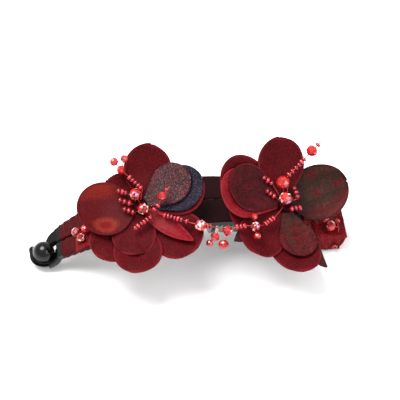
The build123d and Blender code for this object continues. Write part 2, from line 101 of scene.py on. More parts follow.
# ------------ material helpers
class Paint:
    """A node material under construction; methods add nodes and return output sockets."""

    def __init__(self, name):
        self.material = bpy.data.materials.new(name)
        self.material.use_nodes = True
        self.nodes = self.material.node_tree.nodes
        self.links = self.material.node_tree.links
        self.shader = self.nodes["Principled BSDF"]

    def add(self, kind, **values):
        node = self.nodes.new(kind)
        for key, value in values.items():
            setattr(node, key, value)
        return node

    def wire(self, value, socket):
        if isinstance(value, bpy.types.NodeSocket):
            self.links.new(value, socket)
        elif value is not None:
            socket.default_value = value

    def set(self, **values):
        for key, value in values.items():
            socket = self.shader.inputs[key.replace("_", " ")]
            self.wire(value, socket)
        return self

    def uv(self, layer):
        return self.add("ShaderNodeUVMap", uv_map=layer).outputs[0]

    def local(self):
        return self.add("ShaderNodeTexCoord").outputs["Object"]

    def noise(self, at, scale, detail=3.0, rough=0.55, distortion=0.0):
        node = self.add("ShaderNodeTexNoise")
        self.wire(at, node.inputs["Vector"])
        node.inputs["Scale"].default_value = scale
        node.inputs["Detail"].default_value = detail
        node.inputs["Roughness"].default_value = rough
        node.inputs["Distortion"].default_value = distortion
        return node.outputs["Fac"]

    def cells(self, at, scale, feature):
        node = self.add("ShaderNodeTexVoronoi", feature=feature)
        self.wire(at, node.inputs["Vector"])
        node.inputs["Scale"].default_value = scale
        return node.outputs["Distance"]

    def bands(self, at, period, direction, distortion):
        node = self.add("ShaderNodeTexWave", bands_direction=direction)
        self.wire(at, node.inputs["Vector"])
        node.inputs["Scale"].default_value = 0.31416 / period
        node.inputs["Distortion"].default_value = distortion
        node.inputs["Detail"].default_value = 1.0
        return node.outputs["Fac"]

    def math(self, operation, a, b=0.5):
        node = self.add("ShaderNodeMath", operation=operation)
        self.wire(a, node.inputs[0])
        self.wire(b, node.inputs[1])
        return node.outputs[0]

    def split(self, vector):
        node = self.add("ShaderNodeSeparateXYZ")
        self.wire(vector, node.inputs[0])
        return node.outputs

    def step(self, value, low, high):
        node = self.add("ShaderNodeMapRange", interpolation_type="SMOOTHSTEP")
        self.wire(value, node.inputs["Value"])
        node.inputs["From Min"].default_value = low
        node.inputs["From Max"].default_value = high
        return node.outputs["Result"]

    def mix(self, fac, a, b, blend="MIX"):
        node = self.add("ShaderNodeMix", data_type="RGBA", blend_type=blend)
        self.wire(fac, node.inputs["Factor"])
        self.wire(rgba(a), node.inputs["A"])
        self.wire(rgba(b), node.inputs["B"])
        return node.outputs["Result"]

    def ramp(self, fac, *stops):
        node = self.add("ShaderNodeValToRGB")
        self.wire(fac, node.inputs[0])
        ramp = node.color_ramp
        while len(ramp.elements) < len(stops):
            ramp.elements.new(0.5)
        for element, (at, colour) in zip(ramp.elements, stops):
            element.position, element.color = at, rgba(colour)
        return node.outputs[0]

    def bump(self, height, strength, distance, below=None):
        node = self.add("ShaderNodeBump")
        node.inputs["Strength"].default_value = strength
        node.inputs["Distance"].default_value = distance * MM
        self.wire(height, node.inputs["Height"])
        self.wire(below, node.inputs["Normal"])
        return node.outputs[0]

    def ellipse(self, uv, cx, cy, rx, ry, soft, rag):
        """A soft-edged oval patch on the petal, ragged by noise."""
        x, y, _ = self.split(uv)
        dx = self.math("DIVIDE", self.math("SUBTRACT", x, cx), rx)
        dy = self.math("DIVIDE", self.math("SUBTRACT", y, cy), ry)
        squares = self.math("ADD", self.math("MULTIPLY", dx, dx), self.math("MULTIPLY", dy, dy))
        far = self.math("SQRT", squares)
        far = self.math("ADD", far, self.math("MULTIPLY", rag, 0.9))
        return self.math("SUBTRACT", 1.0, self.step(far, 1.0, 1.0 + soft))


def rgba(colour):
    if isinstance(colour, (tuple, list)) and len(colour) == 3:
        return (*colour, 1.0)
    return colour


def srgb(r, g, b):
    """Display colour 0..255 to the linear colour a shader takes."""
    def one(c):
        c /= 255
        return c / 12.92 if c <= 0.04045 else ((c + 0.055) / 1.055) ** 2.4
    return (one(r), one(g), one(b))


def cloth(name, base, deep, light, weave=0.42, sheen=0.5, rough=0.62, rim=None, pattern=None, grain=1.0,
          depth=0.43, cool=0.4, glint=0.0):
    """Woven fabric on a piece with a "cloth" UV in millimetres and a "shape" UV from 0 to 1."""
    p = Paint(name)
    at, shape = p.uv("cloth"), p.uv("shape")
    blotch = p.noise(at, 0.16, 4, 0.6)
    mottle = p.noise(at, 1.3, 4, 0.65, 0.4)
    threads = p.math("MULTIPLY", p.bands(at, weave, "X", 0.6), p.bands(at, weave, "Y", 0.6))
    colour = p.mix(p.step(blotch, 0.32, 0.68), deep, base)
    speck = p.noise(at, 2.1, 2, 0.7)
    colour = p.mix(p.math("MULTIPLY", p.step(mottle, 0.46, 0.62), 0.8 * grain), colour, light)
    colour = p.mix(p.math("MULTIPLY", p.step(speck, 0.54, 0.42), 0.85 * grain), colour, deep)
    if pattern:
        colour = pattern(p, at, shape, colour)
    colour = p.mix(p.math("MULTIPLY", threads, 0.5 * grain), colour, light)
    if rim:
        u, v, _ = p.split(shape)
        side = p.math("ABSOLUTE", p.math("SUBTRACT", v, 0.5))
        edge = p.math("MAXIMUM", p.step(side, 0.44, 0.485), p.step(u, 0.935, 0.98))
        colour = p.mix(p.math("MULTIPLY", edge, 0.75), colour, rim)
    colour = p.mix(1.0, colour, (depth, depth * cool, depth * cool * 1.14), "MULTIPLY")
    # Painted glints: pale flecks laid over the colour as stand-in highlights.
    if glint:
        painted_glint_spots = p.step(p.noise(at, 2.6, 3, 0.75, 1.2), 0.57, 0.66)
        colour = p.mix(p.math("MULTIPLY", painted_glint_spots, glint), colour, srgb(176, 160, 166))
    under = p.bump(p.noise(at, 0.55, 3), 0.35, 0.35)
    normal = p.bump(p.math("ADD", threads, p.math("MULTIPLY", mottle, 0.8)), 0.55 * grain, 0.12, under)
    p.set(Base_Color=colour, Roughness=p.math("ADD", p.math("MULTIPLY", mottle, 0.25), rough - 0.12),
          Sheen_Weight=sheen * 0.05, Sheen_Roughness=0.5, Normal=normal)
    p.shader.inputs["Sheen Tint"].default_value = rgba(light)
    p.shader.inputs["Specular IOR Level"].default_value = 0.07
    return p.material


MAROON, MAROON_DEEP, MAROON_LIGHT = srgb(104, 18, 32), srgb(72, 8, 19), srgb(142, 44, 54)
RIM = srgb(150, 52, 62)


def gold_pattern(p, at, shape, colour):
    """Translucent print: a warm band near one edge and a gold oval near the other."""
    rag = p.noise(at, 0.5, 4, 0.7, 1.2)
    fine = p.noise(at, 2.4, 3, 0.7)
    glaze = p.mix(0.5, colour, srgb(120, 34, 36))
    band = p.ellipse(shape, 0.62, 0.14, 0.26, 0.10, 1.6, rag)
    oval = p.ellipse(shape, 0.52, 0.80, 0.20, 0.13, 0.9, rag)
    ring = p.math("SUBTRACT", oval, p.ellipse(shape, 0.52, 0.80, 0.12, 0.08, 1.0, rag))
    warm = p.mix(p.step(fine, 0.5, 0.62), srgb(168, 34, 34), srgb(190, 124, 70))
    gold = p.mix(p.step(fine, 0.45, 0.58), srgb(166, 40, 38), srgb(204, 170, 100))
    colour = p.mix(p.math("MULTIPLY", band, 0.75), glaze, warm)
    colour = p.mix(p.math("MULTIPLY", oval, 0.55), colour, srgb(178, 48, 44))
    return p.mix(p.math("MULTIPLY", ring, 0.8), colour, gold)


def organza_pattern(p, at, shape, colour):
    """Grey-green sheer with pink glow and painted sparkle highlights."""
    rag = p.noise(at, 0.3, 4, 0.7, 1.0)
    fine = p.noise(at, 1.6, 5, 0.75)
    colour = p.mix(p.step(rag, 0.38, 0.62), srgb(60, 58, 54), srgb(122, 60, 66))
    colour = p.mix(p.step(fine, 0.5, 0.68), colour, srgb(150, 118, 112))
    # Painted sparkles: small pale dots standing in for highlights.
    sparkle_highlight = p.step(p.cells(at, 1.5, "F1"), 0.16, 0.08)
    return p.mix(p.math("MULTIPLY", sparkle_highlight, 0.7), colour, srgb(214, 200, 190))


def dark_organza_pattern(p, at, shape, colour):
    """Dark sheer over maroon, crossed by a scratchy net."""
    net = p.cells(at, 0.75, "DISTANCE_TO_EDGE")
    line = p.math("SUBTRACT", 1.0, p.step(net, 0.0, 0.09))
    colour = p.mix(p.step(p.noise(at, 0.25, 4), 0.4, 0.65), srgb(74, 16, 26), srgb(112, 28, 40))
    return p.mix(p.math("MULTIPLY", line, 0.5), colour, srgb(140, 66, 66))


def blue_pattern(p, at, shape, colour):
    rag = p.noise(at, 0.28, 4, 0.7, 0.8)
    # Painted sparkles: small pale dots standing in for highlights.
    sparkle_highlight = p.step(p.cells(at, 1.7, "F1"), 0.17, 0.08)
    colour = p.mix(p.step(rag, 0.36, 0.64), srgb(34, 36, 58), srgb(78, 54, 76))
    return p.mix(p.math("MULTIPLY", sparkle_highlight, 0.65), colour, srgb(150, 160, 176))


def plaid_pattern(p, at, shape, colour):
    """Green and brown plaid over red, with an orange edge on the lower side."""
    wobble = p.noise(at, 0.35, 3, 0.6)
    across = p.step(p.bands(at, 8.5, "X", 0.8), 0.55, 0.8)
    along = p.step(p.bands(at, 7.6, "Y", 0.8), 0.5, 0.75)
    thin = p.math("MAXIMUM", p.step(p.bands(at, 1.9, "X", 0.5), 0.86, 0.97),
                  p.step(p.bands(at, 1.9, "Y", 0.5), 0.86, 0.97))
    u, v, _ = p.split(shape)
    colour = p.mix(p.math("MULTIPLY", along, 0.55), srgb(112, 104, 76), srgb(150, 136, 104))
    colour = p.mix(p.math("MULTIPLY", across, along), colour, srgb(176, 46, 60))
    red_side = p.step(p.math("ADD", v, p.math("MULTIPLY", wobble, 0.3)), 0.52, 0.34)
    colour = p.mix(red_side, colour, srgb(170, 50, 62))
    colour = p.mix(p.math("MULTIPLY", p.step(wobble, 0.5, 0.68), 0.5), colour, srgb(190, 150, 130))
    colour = p.mix(p.math("MULTIPLY", thin, 0.3), colour, srgb(54, 46, 40))
    base = p.math("SUBTRACT", 1.0, p.step(u, 0.12, 0.5))
    colour = p.mix(p.math("MULTIPLY", base, 0.7), colour, srgb(60, 58, 50))
    low = p.math("MULTIPLY", p.step(v, 0.16, 0.06), p.step(u, 0.4, 0.6))
    return p.mix(p.math("MULTIPLY", low, 0.6), colour, srgb(220, 120, 80))


def inner_plaid_pattern(p, at, shape, colour):
    """Maroon in the middle with a green-brown net along one side."""
    rag = p.noise(at, 0.4, 4, 0.7, 0.8)
    u, v, _ = p.split(shape)
    side = p.math("MAXIMUM", p.step(p.math("SUBTRACT", p.math("MULTIPLY", rag, 0.4), v), 0.02, -0.1),
                  p.math("SUBTRACT", 1.0, p.step(u, 0.18, 0.46)))
    side = p.math("MULTIPLY", side, p.step(p.math("ADD", v, p.math("MULTIPLY", rag, 0.3)), 0.62, 0.4))
    side = p.math("MAXIMUM", side, p.math("MULTIPLY", p.math("SUBTRACT", 1.0, p.step(u, 0.2, 0.4)), 0.9))
    lines = p.math("MAXIMUM", p.step(p.bands(at, 2.0, "X", 1.0), 0.8, 0.95),
                   p.step(p.bands(at, 2.0, "Y", 1.0), 0.8, 0.95))
    net = p.mix(p.math("MULTIPLY", lines, 0.35), srgb(112, 100, 76), srgb(168, 156, 126))
    glow = p.mix(p.step(rag, 0.35, 0.6), colour, srgb(184, 54, 66))
    return p.mix(side, glow, net)


def leaf_pattern(p, at, shape, colour):
    rag = p.noise(at, 0.5, 4, 0.7, 1.0)
    colour = p.mix(p.step(rag, 0.4, 0.6), srgb(50, 54, 48), srgb(130, 70, 76))
    return p.mix(p.step(p.noise(at, 1.5, 3), 0.62, 0.75), colour, srgb(150, 130, 120))


MAROON_CLOTH = {"base": MAROON, "deep": MAROON_DEEP}
RED_SATIN = {
    "base": srgb(140, 16, 32), "deep": srgb(104, 9, 22), "light": srgb(206, 62, 74),
    "weave": 0.62, "rough": 0.36, "sheen": 0.25, "grain": 1.3,
}
FABRICS = {
    "maroon": cloth("maroon_suede", MAROON, MAROON_DEEP, MAROON_LIGHT, rim=RIM),
    "gold": cloth("gold_print", glint=0.05, depth=0.37, cool=0.4, **MAROON_CLOTH, light=MAROON_LIGHT,
        rough=0.45, rim=srgb(122, 26, 40), pattern=gold_pattern),
    "organza": cloth("organza", glint=0.5, depth=0.26, cool=0.6, **MAROON_CLOTH,
        light=srgb(170, 130, 126), rough=0.4, rim=srgb(110, 40, 48), pattern=organza_pattern),
    "net": cloth("dark_organza", glint=0.1, depth=0.25, cool=0.42, **MAROON_CLOTH, light=MAROON_LIGHT,
        rough=0.5, rim=srgb(150, 56, 62), pattern=dark_organza_pattern),
    "blue": cloth("blue_print", glint=0.28, depth=0.19, cool=0.95, **MAROON_CLOTH,
        light=srgb(110, 116, 140), rough=0.42, rim=srgb(54, 44, 60), pattern=blue_pattern),
    "plaid": cloth("plaid_print", glint=0.07, depth=0.13, cool=0.42, **MAROON_CLOTH,
        light=srgb(130, 120, 96), rough=0.5, rim=srgb(120, 62, 60), pattern=plaid_pattern),
    "inner_plaid": cloth("inner_plaid", glint=0.1, depth=0.16, cool=0.34, **MAROON_CLOTH,
        light=srgb(140, 110, 90), rough=0.5, rim=srgb(132, 52, 56), pattern=inner_plaid_pattern),
    "bright": cloth("bright_satin", depth=0.38, cool=0.62, base=srgb(178, 26, 44),
        deep=srgb(140, 14, 30), light=srgb(224, 92, 100), weave=0.3, rough=0.34, sheen=0.3,
        rim=srgb(206, 66, 76), grain=0.6),
    "leaf": cloth("leaf_print", depth=0.24, cool=0.55, **MAROON_CLOTH, light=srgb(140, 120, 112),
        rough=0.5, rim=srgb(80, 60, 60), pattern=leaf_pattern),
    # One red satin made twice: the wrap's copy is darkened as painted shade, and the copy on the hood and
    # patch is brightened as painted light.
    "satin": cloth("wrap_satin_shaded_copy", depth=0.15, cool=0.3, **RED_SATIN),
    "lit_satin": cloth("hood_satin_lit_copy", depth=0.4, cool=0.34, **RED_SATIN),
    "ribbon": cloth("ribbed_ribbon", depth=0.2, cool=0.36, base=srgb(58, 12, 22), deep=srgb(40, 7, 14),
        light=srgb(96, 30, 42), weave=0.35, rough=0.6, sheen=0.35, rim=srgb(84, 18, 30)),
    "felt": cloth("pad_felt", depth=0.3, cool=0.5, base=srgb(74, 12, 26), deep=srgb(52, 8, 18),
        light=srgb(120, 44, 56), weave=0.8, rough=0.85, sheen=0.7),
}


def black_plastic():
    p = Paint("black_plastic")
    at = p.local()
    p.set(Base_Color=p.mix(p.noise(at, 260, 3), srgb(2, 2, 3), srgb(7, 7, 8)),
          Roughness=p.math("ADD", p.math("MULTIPLY", p.noise(at, 900, 4), 0.12), 0.1),
          Normal=p.bump(p.noise(at, 420, 2), 0.1, 0.15), Coat_Weight=0.1, Coat_Roughness=0.06)
    p.shader.inputs["Specular IOR Level"].default_value = 0.24
    return p.material


def pin_steel():
    p = Paint("pin_steel")
    at = p.local()
    p.set(Base_Color=p.mix(p.noise(at, 1500, 3), srgb(150, 150, 152), srgb(190, 190, 192)), Metallic=1.0,
          Roughness=p.math("ADD", p.math("MULTIPLY", p.noise(at, 2200, 4), 0.2), 0.22),
          Normal=p.bump(p.noise(at, 3000, 2), 0.15, 0.05))
    return p.material


def craft_wire():
    p = Paint("craft_wire")
    at = p.local()
    p.set(Base_Color=p.mix(p.noise(at, 1200, 2), srgb(150, 30, 36), srgb(190, 70, 60)), Metallic=0.8,
          Roughness=0.3, Normal=p.bump(p.noise(at, 2600, 2), 0.2, 0.04))
    return p.material


def glass_bead(name, dark, body, light, clear, shimmer=None):
    """Translucent glass. "tone" is a random number on each bead or facet."""
    p = Paint(name)
    tone = p.add("ShaderNodeAttribute", attribute_name="tone").outputs["Fac"]
    cloud = p.noise(p.local(), 900, 2)
    if shimmer:
        colour = p.ramp(tone, (0.0, dark), (0.3, body), (0.55, body), (0.68, light), *shimmer)
        p.nodes[colour.node.name].color_ramp.interpolation = "CONSTANT"
    else:
        colour = p.ramp(tone, (0.0, dark), (0.5, body), (1.0, light))
    colour = p.mix(p.math("MULTIPLY", cloud, 0.25), colour, light)
    p.set(Base_Color=colour, Roughness=0.07, Transmission_Weight=clear, IOR=1.52, Coat_Weight=0.45,
          Coat_Roughness=0.04, Normal=p.bump(p.noise(p.local(), 1400, 2), 0.08, 0.08))
    return p.material


BLACK, STEEL, WIRE = black_plastic(), pin_steel(), craft_wire()
SEED = glass_bead("seed_glass", srgb(104, 4, 16), srgb(136, 8, 24), srgb(168, 26, 44), 0.0)
CRYSTAL = glass_bead("crystal_glass", srgb(96, 2, 6), srgb(146, 4, 10), srgb(196, 26, 24), 0.05)
RAINBOW = glass_bead(
    "rainbow_crystal", srgb(96, 3, 10), srgb(146, 6, 14), srgb(200, 40, 34), 0.08,
    shimmer=((0.78, srgb(226, 190, 130)), (0.84, srgb(150, 130, 190)),
             (0.89, srgb(244, 170, 180)), (0.94, srgb(250, 236, 220))))


# ------------ mesh helpers
def new_object(name, mesh, body, material, *nodes):
    obj = bpy.data.objects.new(name, mesh)
    bpy.context.scene.collection.objects.link(obj)
    mesh.materials.clear()
    mesh.materials.append(material)
    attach(obj, body)
    if nodes:
        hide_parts(*nodes)
    return obj


def grid_mesh(name, rows, cols, point, shape, cloth_uv, closed=False):
    """A sheet of rows by cols; point, shape and cloth_uv take (i, j) as shares from 0 to 1."""
    verts, faces, uvs = [], [], []
    for i in range(rows + 1):
        for j in range(cols + (0 if closed else 1)):
            verts.append(place(point(i / rows, j / cols)))
    wide = cols if closed else cols + 1
    for i in range(rows):
        for j in range(cols):
            k = (j + 1) % wide if closed else j + 1
            faces.append((i * wide + j, (i + 1) * wide + j, (i + 1) * wide + k, i * wide + k))
            uvs.append([(i, j), (i + 1, j), (i + 1, j + 1), (i, j + 1)])
    mesh = bpy.data.meshes.new(name)
    mesh.from_pydata(verts, [], faces)
    for layer_name, source in (("shape", shape), ("cloth", cloth_uv)):
        layer = mesh.uv_layers.new(name=layer_name)
        flat = []
        for corners in uvs:
            for i, j in corners:
                flat.extend(source(i / rows, j / cols))
        layer.data.foreach_set("uv", flat)
    for poly in mesh.polygons:
        poly.use_smooth = True
    return mesh


def close_solid(mesh):
    """Closes the open ends of a turned shape and faces it outwards."""
    bm = bmesh.new()
    bm.from_mesh(mesh)
    bmesh.ops.holes_fill(bm, edges=[edge for edge in bm.edges if edge.is_boundary], sides=0)
    bmesh.ops.recalc_face_normals(bm, faces=bm.faces)
    bm.to_mesh(mesh)
    bm.free()
    return mesh


def finish_sheet(name, mesh, body, material, nodes, thick, rests):
    obj = new_object(name, mesh, body, material, *nodes)
    solid = obj.modifiers.new("thickness", "SOLIDIFY")
    solid.thickness, solid.offset, solid.use_even_offset = thick * MM, 0.0, False
    bake(obj)
    return obj


def bake(obj):
    """Replaces an object's mesh with its evaluated one and drops the modifiers."""
    bpy.context.view_layer.update()
    mesh = bpy.data.meshes.new_from_object(obj.evaluated_get(bpy.context.evaluated_depsgraph_get()))
    obj.modifiers.clear()
    obj.data = mesh
    return obj


# ------------ petals
# name: angle, length, width, layer, fabric, cup (dip of the middle), curl (turn-down of the rim),
# twist (one side up, the other down), ripple
PETALS = {
    "left": {
        "petal_top": (72, 25, 19.5, 3, "maroon", 1.6, 0.5, 0.6, 0.35),
        "petal_upper_left_back": (133, 17.5, 16, 2, "maroon", 0.8, 0.5, 0.3, 0.3),
        "petal_printed": (178, 25.4, 22.4, 3, "gold", 1.5, 0.5, 0.2, 0.2),
        "petal_lower_left_back": (225, 27.5, 19, 0, "maroon", 1.2, 0.9, 0.3, 0.4),
        "petal_lower_front": (250, 21, 18, 2, "maroon", 0.2, 0.8, 0.2, 0.45),
        "petal_lower_back": (260, 29, 20, 1, "maroon", 0.6, 0.8, 0.3, 0.4),
        "petal_lower_right": (314, 30, 21, 0, "maroon", 1.4, 0.9, 0.3, 0.4),
        "petal_blue_back": (11, 27, 18.5, 1, "maroon", 0.5, 0.4, 0.0, 0.3),
        "petal_blue": (16, 27, 18.5, 2, "blue", 0.5, 0.4, 0.0, 0.3),
        "petal_organza": (29, 23.5, 16.5, 4, "organza", 0.6, 0.4, 0.0, 0.3),
        "leaf_red": (316, 27, 6.5, 3, "bright", 0.9, 0.0, 0.5, 0.3),
    },
    "right": {
        "petal_top": (92, 26.5, 20, 4, "maroon", 1.6, 0.5, 0.4, 0.35),
        "petal_upper_left_back": (126, 21, 16, 2, "maroon", 0.8, 0.5, 0.3, 0.3),
        "petal_left_outer": (155, 31, 24, 3, "maroon", 1.0, 0.4, 0.2, 0.3),
        "petal_left_red": (167, 30, 20.5, 4, "bright", 0.8, 0.4, 0.2, 0.3),
        "petal_left_inner": (156, 26.5, 19.5, 5, "net", 0.8, 0.4, 0.2, 0.25),
        "petal_left_back": (193, 25.5, 17, 1, "maroon", 0.8, 0.6, 0.2, 0.4),
        "petal_lower_left": (226, 28, 20, 2, "maroon", 1.0, 0.9, 0.3, 0.45),
        "petal_lower_right": (273, 30.5, 21, 1, "maroon", 1.0, 0.9, 0.3, 0.4),
        "petal_lower_inner": (280, 23.5, 15.5, 3, "inner_plaid", 0.5, 0.3, 0.1, 0.3),
        "petal_plaid": (15, 26.5, 23, 2, "plaid", 1.8, 0.6, 0.4, 0.3),
        "leaf_left": (212, 30.5, 9, 0, "leaf", 0.8, 0.0, 0.4, 0.3),
        "leaf_right": (290, 31.5, 9, 0, "leaf", 0.8, 0.0, 0.4, 0.3),
    },
}
PETAL_START = 2.9


def petal_half_width(x, length, width, pointed):
    if pointed:
        t = (x - PETAL_START) / (length - PETAL_START)
        swell = math.sin(math.pi * min(1.0, t) ** 0.8) ** 0.75 + 0.3 * (1 - t)
        return max(0.12, width / 2 * swell * 0.95)
    tip = width / 2
    base_x, tip_x = 3.4, length - tip
    lean = (tip - 2.0) / (tip_x - base_x)
    hang = math.sqrt(max(0.0, 1 - lean * lean))
    if x > tip_x - tip * lean:
        return math.sqrt(max(0.05, tip * tip - (x - tip_x) ** 2))
    start = base_x - 2.0 * lean
    slope = (tip * hang - 2.0 * hang) / ((tip_x - tip * lean) - start)
    return max(1.2, 2.0 * hang + slope * (x - start))


def make_petal(flower, name, angle, length, width, level, fabric, cup, curl, twist, ripple):
    pointed = name.startswith("leaf")
    seed = sum(map(ord, flower + name)) * 0.37
    cos_a, sin_a = math.cos(math.radians(angle)), math.sin(math.radians(angle))

    def spot(i, j):
        s = math.sin(i * math.pi / 2 * 0.985)
        x = PETAL_START + (length - PETAL_START) * s
        side = 2 * j - 1
        return x, side * petal_half_width(x, length, width, pointed), side

    def point(i, j):
        x, y, side = spot(i, j)
        t = x / length
        height = level * LEVEL + PETAL_THICK / 2
        body = math.sin(math.pi * smooth(0.12, 1.25, t))
        height -= cup * (1 - side * side) * body
        edge = max(smooth(0.72, 1.0, abs(side)), smooth(0.86, 1.0, t))
        height -= curl * edge * smooth(0.25, 0.7, t)
        height += twist * side * t
        height += ripple * noise.noise(Vector((x * 0.16, y * 0.2, seed))) * 1.6 * t
        height += ripple * 0.5 * edge * math.sin(math.atan2(y, x - length * 0.6) * 5 + seed)
        height += 0.25 * math.exp(-(y / 0.9) ** 2) * smooth(0.7, 0.2, t)
        return on_flower(flower, x * cos_a - y * sin_a, x * sin_a + y * cos_a, height)

    def shape(i, j):
        x, _, _ = spot(i, j)
        return ((x - PETAL_START) / (length - PETAL_START), j)

    def cloth_uv(i, j):
        x, y, _ = spot(i, j)
        return (x + seed, y + seed)

    rows, cols = (34, 12) if pointed else (40, 30)
    mesh = grid_mesh(f"{flower}_{name}_cloth", rows, cols, point, shape, cloth_uv)
    finish_sheet(f"{flower}_{name}_cloth", mesh, FIXED, FABRICS[fabric], [f"{flower}_{name}"],
                 PETAL_CLOTH, [f"{flower}_flower_pad"])


# ------------ pads
def make_pad(flower):
    """Felt disc with a stem through the petals and a foot on the ribbon."""
    middle, ax, ay, az = flower_axes(flower)
    top = FLOWERS[flower][2] * LEVEL + 0.15
    profile = [(0.02, top), (2.2, top), (2.75, top - 0.3), (2.85, top - 1.2), (2.85, 0.12),
               (3.6, 0.0), (5.8, -0.05), (6.7, -0.25), (6.95, -0.6), (6.7, -1.0),
               (5.8, -1.2), (3.5, -1.25), (0.02, -1.25)]

    def point(i, j):
        k = min(int(i * (len(profile) - 1)), len(profile) - 2)
        f = i * (len(profile) - 1) - k
        r = profile[k][0] * (1 - f) + profile[k + 1][0] * f
        h = profile[k][1] * (1 - f) + profile[k + 1][1] * f
        a = j * 2 * math.pi
        r += 0.12 * math.sin(a * 22) * smooth(5.6, 6.6, r)
        spot = middle + ax * r * math.cos(a) + ay * r * math.sin(a) + az * h
        floor = ARCH_Z + math.sqrt((SPINE_OUT + 0.45) ** 2 - spot.x ** 2)
        spot.z = max(spot.z, floor) if spot.y < -0.8 else spot.z
        return spot

    mesh = grid_mesh(f"{flower}_pad", 48, 72, point, lambda i, j: (i, 0.5),
                     lambda i, j: (i * 20, j * 40), closed=True)

    def foot_point(i, j):
        """Soft column from the arm's ribbon up into the pad."""
        a = j * 2 * math.pi
        square = 1 / max(abs(math.cos(a)), abs(math.sin(a))) ** 0.7
        flare = 1.0 + 0.12 * math.cos(i * 2 * math.pi)
        x = middle.x + 4.6 * math.cos(a) * square * 0.86 * flare
        y = -5.3 + 3.9 * math.sin(a) * square * 0.86 * flare
        low = ARCH_Z + math.sqrt((SPINE_OUT + 0.42) ** 2 - x * x)
        high = middle.z - ((x - middle.x) * az.x + (y - middle.y) * az.y) / az.z - 1.0
        return Vector((x, y, low + (max(high, low + 0.1) - low) * i))

    foot = grid_mesh(f"{flower}_foot", 10, 40, foot_point, lambda i, j: (i, 0.5),
                     lambda i, j: (i * 5, j * 34), closed=True)
    obj = new_object(f"{flower}_pad_felt", close_solid(mesh), FIXED, FABRICS["felt"],
                     f"{flower}_flower_pad")
    new_object(f"{flower}_pad_foot", close_solid(foot), FIXED, FABRICS["felt"])


# ------------ ribbon and satin on the arms
def make_ribbon(name, side, first, last):
    """Grosgrain: raised ribs across, a firm selvage, and a slight roll over the arm's edges."""
    length = math.radians(last - first) * SPINE_OUT
    ribs = round(length / 0.95)

    def spot(i, j):
        angle = first + (last - first) * i
        x = SPINE_OUT * math.sin(math.radians(angle))
        outer = GAP_HALF + arm_width(x) + 0.25
        inner = 0.16
        return angle, inner + (outer - inner) * j

    def point(i, j):
        angle, y = spot(i, j)
        edge = smooth(0.06, 0.0, j) + smooth(0.94, 1.0, j)
        rib = 0.5 - 0.5 * math.cos(i * ribs * 2 * math.pi)
        lift = 0.24 + 0.13 * rib * (1 - edge) - 0.12 * edge + 0.05 * math.sin(angle * 0.9) * (1 - edge)
        return arch(angle, SPINE_OUT + lift, side * y)

    def cloth_uv(i, j):
        return (i * length, spot(i, j)[1])

    mesh = grid_mesh(name, ribs * 4, 14, point, lambda i, j: (0.5, j), cloth_uv)
    node = name.replace("_cloth", "")
    finish_sheet(name, mesh, FIXED if side < 0 else SWING, FABRICS["ribbon"], [node], RIBBON_CLOTH,
                 [node.replace("_ribbon", "")])


def make_wrap(name, side):
    """Satin wound in overlapping turns round the arm beside the clasp."""
    first, last, turns = -34.4, -25.1, 4.6

    def point(i, j):
        angle = first + (last - first) * i
        x = ARCH_RADIUS * math.sin(math.radians(angle))
        half = arm_width(x) / 2 + 0.34
        a = j * 2 * math.pi
        cos_a, sin_a = math.cos(a), math.sin(a)
        squared = (abs(cos_a) ** 5 + abs(sin_a) ** 5) ** (-1 / 5)
        winding = (i * turns + j + 0.15 * math.sin(a * 2)) % 1.0
        crumple = noise.noise(Vector((angle * 1.4, cos_a * 2, sin_a * 2 + side)))
        lap = 0.34 * (1 - winding) ** 1.4 + 0.07 * crumple
        y = GAP_HALF + arm_width(x) / 2 + (half + lap * 0.7) * cos_a * squared
        radius = ARCH_RADIUS + (SPINE_THICK / 2 + 0.16 + lap) * sin_a * squared
        return arch(angle, radius, side * max(y, 0.14))

    mesh = grid_mesh(name, 60, 64, point, lambda i, j: (0.5, 0.5),
                     lambda i, j: (i * WRAP_LENGTH + j * 3, j * WRAP_ROUND), closed=True)
    node = name.replace("_cloth", "")
    finish_sheet(name, mesh, FIXED if side < 0 else SWING, FABRICS["satin"], [node], WRAP_CLOTH,
                 [node.split("_")[0] + "_arm"])


def make_patch():
    """A strip of satin folded back over itself, lying on the fixed arm's wrap."""
    reach, width = 7.2, 9.4

    def point(i, j):
        s = i * 2 * reach                       # out along the arm, round the fold and back
        gap = 0.22
        if s < reach - gap:
            along, high = s, 0.0
        elif s > reach + gap:
            along, high = 2 * reach - s, 1.0
        else:
            turn = (s - reach + gap) / (2 * gap) * math.pi
            along, high = reach - gap + gap * math.sin(turn), 0.5 - 0.5 * math.cos(turn)
        puff = 0.3 * math.sin(math.pi * along / reach) ** 0.6 * math.sin(math.pi * j) ** 0.6
        crease = 0.1 * math.sin(j * 13 + along * 0.7)
        angle = -30.0 + math.degrees((along + 0.25 * math.sin(j * 5) * high) / SPINE_OUT)
        y = -1.3 - width * j - 0.2 * math.sin(along * 0.8) * high
        return arch(angle, SPINE_OUT + 0.66 + 0.42 * high + (puff + crease) * high, y)

    mesh = grid_mesh("satin_patch_cloth", 64, 30, point, lambda i, j: (0.5, 0.5),
                     lambda i, j: (i * 2 * reach, j * width))
    finish_sheet("satin_patch_cloth", mesh, FIXED, FABRICS["lit_satin"], ["satin_patch"], PATCH_CLOTH,
                 ["fixed_clasp_wrap"])


def hood_edge(x):
    """How far over the middle the hood reaches: round the pin only, clear of the swing arm."""
    away, rim = max(0.0, PIN.x - x), EAR_RADIUS - 0.1
    round_pin = math.sqrt(max(0.0, rim ** 2 - away ** 2))
    return min(round_pin, 3.4) - (GAP_HALF + 0.1) * smooth(rim - 1.6, rim, away)


